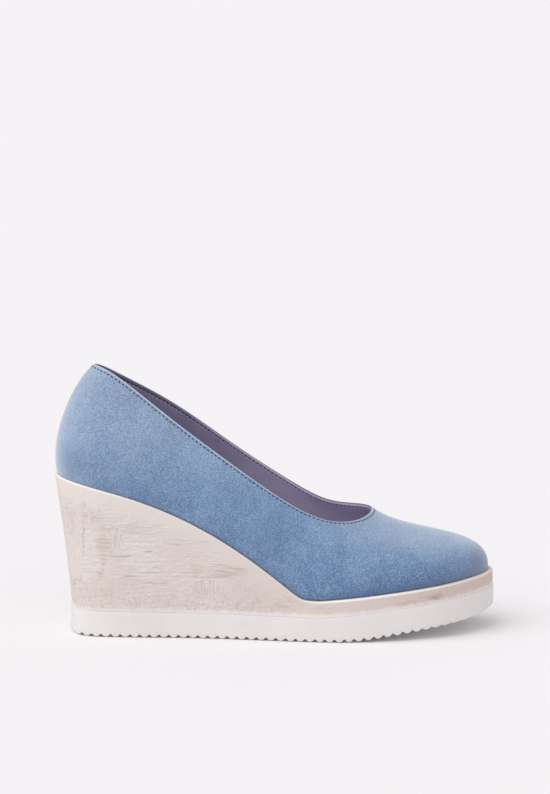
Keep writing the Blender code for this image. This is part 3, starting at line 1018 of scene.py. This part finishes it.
def lining_material():
    """Smooth lavender leather with a fine grain and a dark edge, painted light towards the front, and painted
    shade on the band along its edge at the heel.
    """
    shader = Shader("lining_leather", roughness=0.5)
    clouds, grain, streaks = map(shader.noise, (LINING_CLOUDS, LINING_GRAIN, LINING_STREAKS))
    tone = shader.weighted((clouds, 0.5), (streaks, 0.5), (grain, 0.5))
    to_edge = shader.attribute("to_edge")
    above_seam = shader.ramp(to_edge, LINING_SEAM)
    forward = shader.ramp(shader.along, LINING_SEAM_ALONG)
    colour = shader.layered(
        shader.colours(tone, (0.25, LINING_DEEP), (0.75, LINING_PALE)),
        # painted light towards the front
        (shader.ramp(shader.along, LINING_FRONT_LIGHT), LINING_FRONT),
        # painted light on the band above the seam, towards the front
        (shader.product(above_seam, shader.ramp(forward, LINING_SEAM_FRONT)), LINING_FRONT),
        # painted shade on that band, towards the heel
        (shader.product(above_seam, shader.ramp(forward, LINING_SEAM_BACK)), LINING_EDGE),
        (shader.ramp(to_edge, LINING_RIM), LINING_EDGE),
    )
    return shader.dress(
        Base_Color=colour,
        Roughness=shader.ramp(clouds, LINING_GLOSS),
        Normal=shader.bump(grain, strength=0.3, depth=0.12 * MM),
    )


def thread_material(name, colour):
    """Sewing thread, with painted shade between its strands."""
    shader = Shader(name, roughness=0.7)
    twist = shader.noise(THREAD_TWIST)
    dark = tuple(channel * THREAD_SHADE for channel in colour[:3])
    return shader.dress(
        Base_Color=shader.mix(twist, (*dark, 1), colour),
        Normal=shader.bump(twist, strength=0.4, depth=0.1 * MM),
    )


def wood_wear(shader):
    """Mask of the print's cracks, and of its worn patches with their thin strokes."""
    frayed, wavy, calm = map(shader.shaken, (WEAR_FRAY, STROKE_WAVER, GRAIN_WAVER))
    worn = [shader.marks(frayed, "crack", CRACK_CORE)]
    for kind, grain in STROKES.items():
        lines = shader.contour(shader.noise(grain, calm if kind == "along" else wavy), STROKE_WIDTH)
        worn.append(shader.product(shader.marks(frayed, kind, PATCH_CORE), lines))
    return shader.largest(worn)


def wood_crinkle(shader, upright, place):
    """Fine ridges of the print at a place: lying in most fields, standing in the upright ones."""
    wavy = shader.shaken(CRINKLE_WAVER, place)
    return shader.mix_value(upright, shader.noise(WOOD_LYING, wavy), shader.noise(WOOD_STANDING, wavy))


def wood_material():
    """Whitewashed wood print: a crinkled face with painted highlight and shade on its crinkles, worn patches,
    smooth and pale along its top, with a painted highlight along its top edge.
    """
    shader = Shader("washed_wood_print", roughness=0.6)
    clouds, patches, specks = map(shader.noise, (WOOD_CLOUDS, WOOD_PATCHES, WOOD_SPECKS))
    _, depth, tint = shader.cells(WOOD_CELLS)
    below_top, above_joint = shader.attribute("below_top"), shader.attribute("above_joint")
    frayed = shader.shaken(TINT_FRAY)
    upright = shader.marks(frayed, "upright", FIELD_CORE)
    rough = shader.band(below_top, WOOD_ROUGH, WOOD_ROUGH_ALONG)
    rough = shader.product(rough, shader.ramp(depth, WOOD_ROUGH_CELLS))
    # painted highlight and shade of the crinkles' relief
    crinkle = shader.embossed(lambda place: wood_crinkle(shader, upright, place))
    crinkle = shader.mix_value(rough, 0.5, crinkle)
    wear = wood_wear(shader)
    tone = shader.weighted((clouds, 0.7), (patches, 0.5), (crinkle, 3.3), (specks, 1.0), (tint, 0.12))
    speckled = shader.ramp(shader.noise(WOOD_SPECKLE), WOOD_SPECKLED)
    low = shader.product(shader.band(above_joint, WOOD_LOW, WOOD_LOW_ALONG), speckled)
    fraying = shader.product(shader.noise(WOOD_FRAYING), WOOD_FRAYING_HEIGHT)
    foot = shader.ramp(shader.math("SUBTRACT", above_joint, fraying), WOOD_FOOT)
    # painted highlight along the top edge
    heel_rim = shader.ramp(shader.along, WOOD_RIM_HEEL)
    toe_rim = shader.band(shader.along, WOOD_RIM_FRONT, WOOD_RIM_TIP)
    rim = shader.product(shader.ramp(below_top, WOOD_RIM_LINE), shader.largest((heel_rim, toe_rim)))
    colour = shader.layered(
        shader.colours(tone, (0.0, WOOD_WARM), (0.5, WOOD_BEIGE), (1.0, WOOD_PALE)),
        (shader.ramp(below_top, WOOD_TOP_BAND), WOOD_TOP),
        (low, WOOD_PINK),
        (shader.ramp(shader.along, WOOD_PINK_ALONG), WOOD_PINK),
        (shader.ramp(shader.along, WOOD_TAN_ALONG), WOOD_TAN),
        (shader.marks(frayed, "ochre", TINT_CORE), WOOD_OCHRE),
        (shader.marks(frayed, "brown", TINT_CORE), WOOD_BROWN),
        (shader.product(wear, WEAR_STRENGTH), WOOD_MARK),
        (foot, SOLE_WHITE),
        # painted highlight along the top edge
        (rim, WOOD_RIM_HIGHLIGHT),
    )
    relief = shader.weighted((crinkle, 0.8), (specks, 0.2), (wear, -0.3))
    return shader.dress(
        Base_Color=colour,
        Normal=shader.bump(relief, strength=0.8, depth=0.4 * MM),
        Specular_IOR_Level=0.3,
    )


def sole_material():
    """Smooth off-white sole, slightly clouded, with painted shade in its grooves and along its lower edge."""
    shader = Shader("sole_smooth_white", roughness=0.45)
    clouds, grain = shader.noise(SOLE_CLOUDS), shader.noise(SOLE_GRAIN)
    tone = shader.weighted((clouds, 0.8), (grain, 0.25))
    colour = shader.colours(tone, (0.2, SOLE_SHADE), (0.7, SOLE_WHITE))
    # painted shade in the grooves and along the lower edge
    groove_shade = shader.product(shader.attribute("groove_shade"), shader.band(shader.along, SOLE_GROOVE_SHADE_TOE, SOLE_GROOVE_SHADE_HEEL))
    return shader.dress(
        Base_Color=shader.mix(groove_shade, colour, SOLE_GROOVE_SHADE),
        Roughness=shader.ramp(clouds, SOLE_GLOSS),
        Normal=shader.bump(grain, strength=0.12, depth=0.1 * MM),
    )


def floor_material():
    """Plain pale floor, lit a little from below."""
    return Shader("pale_floor", roughness=0.9).dress(
        Base_Color=FLOOR_WHITE,
        Specular_IOR_Level=0.0,
        Emission_Color=FLOOR_GLOW,
        Emission_Strength=FLOOR_GLOW_STRENGTH,
    )


def add_floor():
    """The floor under the shoe."""
    half = FLOOR_SIZE / 2
    mesh = bpy.data.meshes.new("floor")
    corners = [(-half, -half), (half, -half), (half, half), (-half, half)]
    mesh.from_pydata([(x, y, -FLOOR_DROP) for x, y in corners], [], [(0, 1, 2, 3)])
    mesh.materials.append(floor_material())
    floor = bpy.data.objects.new("floor", mesh)
    bpy.context.scene.collection.objects.link(floor)


def add_light():
    """Even studio light: a bright surround and soft lamps."""
    scene = bpy.context.scene
    scene.world = bpy.data.worlds.new("studio")
    scene.world.use_nodes = True
    tree = scene.world.node_tree
    surround = tree.nodes["Background"]
    surround.inputs["Color"].default_value = (*SURROUND, 1)
    backdrop = tree.nodes.new("ShaderNodeBackground")
    backdrop.inputs["Color"].default_value = (*BACKDROP, 1)
    seen = tree.nodes.new("ShaderNodeLightPath").outputs["Is Camera Ray"]
    both = tree.nodes.new("ShaderNodeMixShader")
    for socket, value in zip(both.inputs, (seen, surround.outputs[0], backdrop.outputs[0])):
        tree.links.new(value, socket)
    tree.links.new(both.outputs[0], tree.nodes["World Output"].inputs["Surface"])
    for lamp in LAMPS:
        light = bpy.data.lights.new(lamp.name, "SUN")
        light.energy = lamp.energy
        light.angle = math.radians(lamp.softness)
        placed = bpy.data.objects.new(lamp.name, light)
        placed.rotation_euler = (math.radians(90 - lamp.elevation), 0, math.radians(lamp.azimuth))
        scene.collection.objects.link(placed)
    scene.view_settings.view_transform = "Standard"


def add_camera():
    """A camera at the photograph's angle, turned so that the aim place shows at its pixel."""
    camera = bpy.data.cameras.new("camera")
    camera.sensor_width = SENSOR
    camera.lens = FOCAL_PIXELS / max(IMAGE_SIZE) * SENSOR
    placed = bpy.data.objects.new("camera", camera)
    away = Vector((0, -math.cos(CAMERA_ELEVATION), math.sin(CAMERA_ELEVATION)))
    right = math.atan((IMAGE_SIZE[0] / 2 - AIM_PIXEL[0]) / FOCAL_PIXELS)
    lift = math.atan((AIM_PIXEL[1] - IMAGE_SIZE[1] / 2) / FOCAL_PIXELS)
    tilt = Matrix.Rotation(math.pi / 2 - CAMERA_ELEVATION + lift, 4, "X")
    turn = Matrix.Rotation(-right, 4, "Z")
    placed.matrix_world = Matrix.Translation(AIM_PLACE + away * CAMERA_DISTANCE) @ turn @ tilt
    bpy.context.scene.collection.objects.link(placed)
    bpy.context.scene.camera = placed


def main():
    """Dress the shoe and set the studio."""
    wall = Wall()
    lining = lining_material()
    add_suede(wall, suede_material())
    add_lining(wall, lining)
    row = nearest_row(wall.below_edge, STITCH_ROW)
    outside, inside = wall.outer_face()[row], wall.inner_face()[row]
    add_stitches("collar_stitches", outside, wall.normals[row], thread_material("thread", THREAD))
    inner_thread = thread_material("lining_thread", LINING_THREAD)
    add_stitches("lining_stitches", inside, -wall.normals[row], inner_thread)
    add_insole(wall, lining)
    add_wedge(wood_material())
    add_outsole(sole_material())
    add_floor()
    add_light()
    add_camera()


main()
